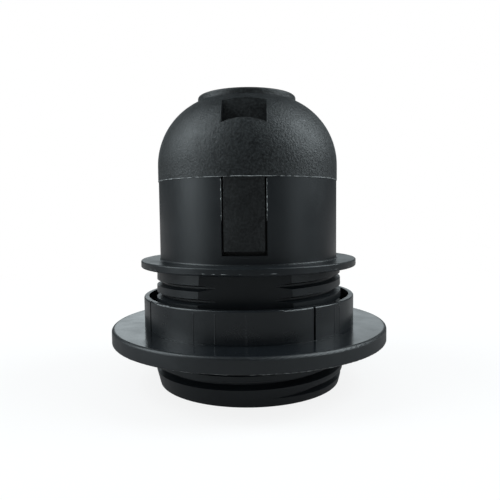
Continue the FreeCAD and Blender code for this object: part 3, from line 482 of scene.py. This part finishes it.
# sizes in mm; corner and bevel are shares of half the flats
bush = {
    "flats": 15.0, "hexagonLength": 5.0, "corner": 1.135, "bevel": 1.02, "bevelSlope": 0.5, "neck": 6.6,
    "bore": 4.5, "threadDepth": 0.52, "pitch": 1.0, "crest": 0.08, "flank": 0.8,
    "stopBore": 3.9, "stop": 0.8, "chamfer": 0.25, "around": 180, "rowsPerPitch": 12,
}


def threadedBush():
    # hexagon radius = half the flats / cos(angle from the nearest flat's middle);
    # bore radius = bore + depth * a clipped triangle wave of (height / pitch - angle / 2 pi)
    low, high = (corner.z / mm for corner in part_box("entry_bush"))
    shoulder = low + bush["hexagonLength"]
    half = bush["flats"] / 2
    angle = np.linspace(0, 2 * np.pi, bush["around"], endpoint=False)[None, :]
    fromFlat = np.mod(angle, math.pi / 3) - math.pi / 6
    hexagon = np.minimum(half / np.cos(fromFlat), half * bush["corner"])
    bevelled = np.minimum(hexagon, half * bush["bevel"])
    drop = (hexagon - bevelled) * bush["bevelSlope"]
    threadLow = low + bush["stop"]
    count = int((high - threadLow) / bush["pitch"] * bush["rowsPerPitch"])
    height = np.linspace(threadLow, high - bush["chamfer"], count)[:, None]
    triangle = np.abs(2 * np.mod(height / bush["pitch"] - angle / (2 * np.pi), 1) - 1)
    depth = np.clip((triangle - bush["crest"]) / bush["flank"], 0, 1) * bush["threadDepth"]
    rows = [
        flatRing(bush["stopBore"], low, angle),
        flatRing(bush["stopBore"], threadLow, angle),
        ringAround(bush["bore"] + depth, height, angle),
        flatRing(bush["bore"] + bush["threadDepth"], high, angle),
        flatRing(bush["neck"] - bush["chamfer"], high, angle),
        flatRing(bush["neck"], high - bush["chamfer"], angle),
        flatRing(bush["neck"], shoulder, angle),
        ringAround(bevelled, shoulder, angle),
        ringAround(hexagon, shoulder - drop, angle),
        ringAround(hexagon, low + drop, angle),
        ringAround(bevelled, low, angle),
    ]
    piece = surfacePiece("threadedBush", [np.vstack(rows)], "cap", bushMetal, sharp=32)
    drillLockHole(piece)
    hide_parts("entry_bush")
    print("threaded bush made,", len(piece.data.polygons), "faces")


lockHole = {"radius": 1.55, "from": 0.5, "to": 12.0, "around": 47, "turn": 0.031}


def drillLockHole(piece):
    # a cylinder along Y, centred on the lock screw; its slight turn keeps its points off those of the thread
    spot = nodeCentre("lock_screw") / mm
    radius = lockHole["radius"]
    angle = np.linspace(0, 2 * np.pi, lockHole["around"], endpoint=False) + lockHole["turn"]
    across = np.array([0, radius, radius, 0])[:, None]
    along = np.array([lockHole["from"], lockHole["from"], lockHole["to"], lockHole["to"]])[:, None]
    grid = np.stack([spot.x + across * np.cos(angle), along + 0 * angle, spot.z + across * np.sin(angle)], -1)
    cutter = surfacePiece("drill", [grid], "cap", bushMetal, aroundOnly=True)
    cut = piece.modifiers.new("hole", "BOOLEAN")
    cut.object = cutter
    cut.solver = "EXACT"
    shaped = piece.evaluated_get(bpy.context.evaluated_depsgraph_get())
    drilled = bpy.data.meshes.new_from_object(shaped)
    weld(drilled)
    piece.modifiers.clear()
    piece.data = drilled
    bpy.data.objects.remove(cutter)


# moulding flash: a hair-thin lip that comes and goes round an edge

def palePlastic():
    look = dict(capLook, colour=(0.30, 0.31, 0.31), cloudColour=(0.12, 0.125, 0.125))
    look.update(speckColour=(0.5, 0.5, 0.5), cloudSize=0.7 * mm, speckSize=0.25 * mm)
    look.update(roughness=0.6, grainHeight=0.01 * mm)
    return blackMoulding("stretchedPlastic", look)[0]


def ripple(angle, seed, waves):
    # a sum of cosines with fixed, uneven turns and offsets, scaled to run from about -1 to 1
    steps = np.arange(1, waves + 1)
    turns = np.round(3 + steps ** 1.7 + 2 * np.sin(seed * steps))
    offset = (seed * steps * 2.399) % (2 * np.pi)
    return np.cos(turns[:, None] * angle + offset[:, None]).sum(0) / math.sqrt(waves) / 1.4


def endFade(count, power):
    # one along the middle, falling to nothing at both ends: the root of 1 - place to this power
    return np.sqrt(np.clip(1 - np.abs(np.linspace(-1, 1, count)) ** power, 0, 1))


stretchedPlastic = palePlastic()

# mm; bias lifts the ripple, so a higher one shows more of the lip; wander is how far it strays up and down
flashes = {
    "seamFlash": {
        "body": "cap", "slot": "cap_plastic", "material": stretchedPlastic, "radius": 18.6,
        "height": 41.60, "reach": 0.085, "thick": 0.09, "seed": 1.7, "bias": 0.55, "wander": 0.03,
    },
    "flangeFlash": {
        "body": "shell", "slot": "shell_plastic", "material": stretchedPlastic, "radius": 22.42,
        "height": 24.62, "reach": 0.05, "thick": 0.07, "seed": 2.9, "bias": -0.1, "wander": 0.02,
    },
    "ringFlash": {
        "body": "shade_ring", "slot": "ring_plastic", "material": stretchedPlastic, "radius": 28.47,
        "height": 9.06, "reach": 0.09, "thick": 0.06, "seed": 4.3, "bias": 0.1, "wander": 0.02,
    },
    "collarFootFlash": {
        "body": "shade_ring", "slot": "ring_plastic", "material": ringMaterial, "radius": 22.02,
        "height": 12.02, "reach": 0.025, "thick": 0.04, "seed": 5.1, "bias": -0.1, "wander": 0.008,
    },
}
# shared by all of them: how deep the lip is rooted, and how its thickness follows the ripple
lip = {
    "around": 720, "section": 6, "waves": 14, "highest": 1.2, "root": 0.12, "wanderWaves": 9, "wanderSeed": 7,
    "thickness": 0.7, "thicker": 0.5, "thinnest": 0.3, "thickest": 1.2,
}


def flashRing(name, size):
    # centre line: radius and height plus ripples; section: an ellipse, rooted inside the plastic, whose reach
    # follows the ripple and goes under the surface where it is low
    angle = np.linspace(0, 2 * np.pi, lip["around"], endpoint=False)
    around = np.linspace(0, 2 * np.pi, lip["section"], endpoint=False)
    amount = np.clip(size["bias"] + ripple(angle, size["seed"], lip["waves"]), -1, lip["highest"])[:, None]
    wander = size["wander"] * ripple(angle, size["seed"] + lip["wanderSeed"], lip["wanderWaves"])
    level = (size["height"] + wander)[:, None]
    width = size["reach"] * amount + lip["root"]
    thick = np.clip(lip["thickness"] + lip["thicker"] * amount, lip["thinnest"], lip["thickest"])
    out = size["radius"] - lip["root"] + width * (0.5 + 0.5 * np.cos(around))
    up = level + size["thick"] / 2 * np.sin(around) * thick
    grid = ringAround(out, up, angle[:, None])
    surfacePiece(name, [grid], size["body"], size["material"])


# mm; each sliver: the ripple's seed, then the side of the slot and the side of the shell, as signs of X and Y
slotFlash = {
    "across": 4.1, "outside": 0.02, "radius": 18.5, "sunk": 0.09, "root": 0.07, "low": 33.5, "high": 41.5,
    "reach": 0.10, "thick": 0.16, "bias": 0.1, "waves": 12, "spacing": 9,
    "rows": 90, "section": 6, "fadePower": 8,
    "slivers": [(1.3, -1, -1), (2.2, 1, -1), (3.1, -1, 1), (4.6, 1, 1)],
}


def slotFlashes():
    # upright slivers on the slots' edges: an ellipse carried up the edge, its reach a ripple of the height
    grids = []
    height = np.linspace(slotFlash["low"], slotFlash["high"], slotFlash["rows"])[:, None]
    around = np.linspace(0, 2 * np.pi, slotFlash["section"], endpoint=False)[None, :]
    fade = endFade(slotFlash["rows"], slotFlash["fadePower"])[:, None]
    edge = math.sqrt(slotFlash["radius"] ** 2 - slotFlash["across"] ** 2) - slotFlash["sunk"]
    for seed, across, back in slotFlash["slivers"]:
        wave = ripple(height[:, 0] / slotFlash["spacing"], seed, slotFlash["waves"])
        amount = np.clip(slotFlash["bias"] * across + wave, -1, lip["highest"])[:, None]
        wide = slotFlash["thick"] / 2 * fade * np.cos(around)
        deep = (slotFlash["reach"] * amount + slotFlash["root"]) * fade * np.sin(around)
        x = across * (slotFlash["across"] + slotFlash["outside"] + wide)
        grids.append(np.stack([x, back * (edge + deep), height + 0 * x], -1))
    surfacePiece("slotFlash", grids, "shell", stretchedPlastic, aroundOnly=True)


# mm, and each rib's direction in degrees from the front
ribs = {
    "radius": 22.0, "sunk": 0.03, "height": 0.07, "width": 0.34, "low": 11.9, "high": 17.7, "rows": 30,
    "section": 10, "fadePower": 12, "from": [-24.7, -13.6, 1.0, 48.5, 53.0],
}


def collarRibs():
    # each rib: an ellipse across it, carried up the collar and fading out at both ends; the same again behind
    grids = []
    level = np.linspace(ribs["low"], ribs["high"], ribs["rows"])[:, None]
    fade = endFade(ribs["rows"], ribs["fadePower"])[:, None]
    across = np.linspace(0, 2 * np.pi, ribs["section"], endpoint=False)[None, :]
    side = ribs["width"] / 2 / ribs["radius"] * np.cos(across) * fade
    out = ribs["radius"] - ribs["sunk"] + ribs["height"] * np.sin(across) * fade
    for place in ribs["from"] + [turn + 180 for turn in ribs["from"]]:
        grids.append(ringAround(out, level, math.radians(place - 90) + side))
    surfacePiece("collarRibs", grids, "shade_ring", ringMaterial, aroundOnly=True)


rolledCup()
threadedBush()
for flashName, flashSize in flashes.items():
    flashRing(flashName, flashSize)
slotFlashes()
collarRibs()
print("flash and ribs made")


# floor, light and camera

# metres: white and gloss are strengths, each from a near place to a far one
stage = {
    "size": 3.0, "floorColour": (0.86, 0.86, 0.86), "roughness": 0.9,
    "whiteNear": 0.84, "whiteFar": 1.0, "farFrom": 0.05, "farTo": 0.22,
    "frontGloss": 0.16, "backGloss": 0.45, "frontEnd": -0.03, "backFrom": 0.25,
}


def makeFloor():
    # the floor takes light and shadow as pale plastic does; the camera sees it lifted towards white, more so
    # far away, and reflections see it darker in front
    half = stage["size"]
    mesh = bpy.data.meshes.new("floor")
    corners = [(-half, -half, 0), (half, -half, 0), (half, half, 0), (-half, half, 0)]
    mesh.from_pydata(corners, [], [(0, 1, 2, 3)])
    floor = bpy.data.objects.new("floor", mesh)
    scene.collection.objects.link(floor)
    mat, shader = startMaterial("paleFloor", stage["floorColour"], stage["roughness"], specular=0.0)
    point = addNode(mat, "TexCoord").outputs["Object"]
    away = addNode(mat, "VectorMath", (point,), operation="LENGTH").outputs["Value"]
    white = remap(mat, away, stage["farFrom"], stage["farTo"], stage["whiteNear"], stage["whiteFar"],
                  "SMOOTHSTEP")
    path = addNode(mat, "LightPath").outputs
    seen = calc(mat, "MAXIMUM", path["Is Camera Ray"], path["Is Glossy Ray"])
    front = remap(mat, splitPoint(mat, point)[1], stage["frontEnd"], stage["backFrom"],
                  stage["frontGloss"], stage["backGloss"], "SMOOTHSTEP")
    strength = calc(mat, "MAXIMUM", front, path["Is Camera Ray"])
    glow = addNode(mat, "Emission", {"Strength": strength})
    lifted = calc(mat, "MULTIPLY", white, seen)
    blend = addNode(mat, "MixShader", (lifted, shader.outputs[0], glow.outputs[0]))
    under = addNode(mat, "NewGeometry").outputs["Backfacing"]  # a look from below passes through the floor
    clear = addNode(mat, "BsdfTransparent")
    blend = addNode(mat, "MixShader", (under, blend.outputs[0], clear.outputs[0]))
    mat.node_tree.links.new(blend.outputs[0], mat.node_tree.nodes["Material Output"].inputs["Surface"])
    mesh.materials.append(mat)


# strengths of the white tent in reflections, and the directions (right, back, up) between which each sets in;
# the softboxes aim at a height in metres
studio = {
    "diffuse": 0.5, "tint": (0.86, 0.96, 1.0), "aimHeight": 0.035,
    "frontGloss": 0.02, "leftGloss": 0.30, "rightGloss": 0.22, "leftToRight": (-0.5, 0.5),
    "sideFrom": (-0.95, -0.3), "sideFade": 0.32, "sideFadeFrom": (0.15, 0.55),
    "backGloss": 0.92, "backFrom": (0.8, 0.97), "backAbove": (0.05, 0.18),
    "backLeft": 1.45, "backLeftTo": (-0.25, 0.1),
    "overhead": 0.3, "overheadFrom": (0.5, 0.9),
}


# softboxes: where each stands (right, back, up), its width and height, and its power in watts
softboxes = {
    "leftBox": {"place": (-0.42, -0.06, 0.36), "size": (0.30, 0.46), "power": 2.2},
    "rightBox": {"place": (0.42, 0.02, 0.36), "size": (0.28, 0.46), "power": 2.4},
    "lowLeftBox": {"place": (-0.47, -0.20, 0.07), "size": (0.30, 0.2), "power": 0.40},
    "lowRightBox": {"place": (0.47, -0.24, 0.07), "size": (0.16, 0.2), "power": 0.13},
}


def addSoftbox(name, box):
    data = bpy.data.lights.new(name, "AREA")
    data.shape = "RECTANGLE"
    data.size, data.size_y = box["size"]
    data.energy = box["power"]
    data.color = studio["tint"]
    lamp = bpy.data.objects.new(name, data)
    lamp.location = box["place"]
    towards = Vector((0, 0, studio["aimHeight"])) - lamp.location
    lamp.rotation_euler = towards.to_track_quat("-Z", "Y").to_euler()
    scene.collection.objects.link(lamp)


def makeWorld():
    # white to the camera; a white tent with a dark open front for reflections; a softer white for the rest
    world = bpy.data.worlds.new("studio")
    world.use_nodes = True
    scene.world = world
    back = world.node_tree.nodes["Background"]
    x, y, z = splitPoint(world, addNode(world, "TexCoord").outputs["Generated"])
    side = remap(world, x, *studio["leftToRight"], studio["leftGloss"], studio["rightGloss"])
    side = calc(world, "MULTIPLY", side, remap(world, y, *studio["sideFrom"], 0, 1, "SMOOTHSTEP"))
    fade = remap(world, y, *studio["sideFadeFrom"], 1, studio["sideFade"], "SMOOTHSTEP")
    front = calc(world, "MAXIMUM", calc(world, "MULTIPLY", side, fade), studio["frontGloss"])
    behind = remap(world, y, *studio["backFrom"], 0, studio["backGloss"], "SMOOTHSTEP")
    behind = calc(world, "MULTIPLY", behind, remap(world, z, *studio["backAbove"], 0, 1, "SMOOTHSTEP"))
    behind = calc(world, "MULTIPLY", behind, remap(world, x, *studio["backLeftTo"], studio["backLeft"], 1))
    above = remap(world, z, *studio["overheadFrom"], 1, studio["overhead"], "SMOOTHSTEP")
    gloss = calc(world, "MULTIPLY", calc(world, "ADD", front, behind), above)
    path = addNode(world, "LightPath").outputs
    light = {0: path["Is Glossy Ray"], 2: studio["diffuse"], 3: gloss}
    strength = addNode(world, "Mix", light, data_type="FLOAT").outputs[0]
    clear = calc(world, "MAXIMUM", path["Is Camera Ray"], path["Is Transmission Ray"])
    final = addNode(world, "Mix", {0: clear, 2: strength, 3: 1.0}, data_type="FLOAT").outputs[0]
    world.node_tree.links.new(final, back.inputs["Strength"])
    world.node_tree.links.new(mixColour(world, clear, studio["tint"], (1, 1, 1)), back.inputs["Color"])


# mm and degrees: how far in front, how high and how far aside it stands, then its turns, and the lens
view = {
    "distance": 109.7, "height": 35.35, "aside": 0.35, "around": 2.0, "down": 4.28, "roll": -0.61,
    "lens": 37.1, "nearest": 5.0,
}


def makeCamera():
    turn = math.radians(view["around"])
    data = bpy.data.cameras.new("camera")
    data.lens = view["lens"]
    data.clip_start = view["nearest"] * mm
    camera = bpy.data.objects.new("camera", data)
    spot = Euler((0, 0, turn)).to_matrix() @ Vector((view["aside"], -view["distance"], view["height"]))
    tilt = Euler((math.radians(90 - view["down"]), 0, turn)).to_matrix()
    roll = Euler((0, 0, math.radians(view["roll"]))).to_matrix()
    camera.location = spot * mm
    camera.rotation_euler = (tilt @ roll).to_euler()
    scene.collection.objects.link(camera)
    scene.camera = camera


makeFloor()
makeWorld()
for boxName, boxSize in softboxes.items():
    addSoftbox(boxName, boxSize)
makeCamera()
scene.view_settings.view_transform = "Standard"
print("stage, light and camera set")
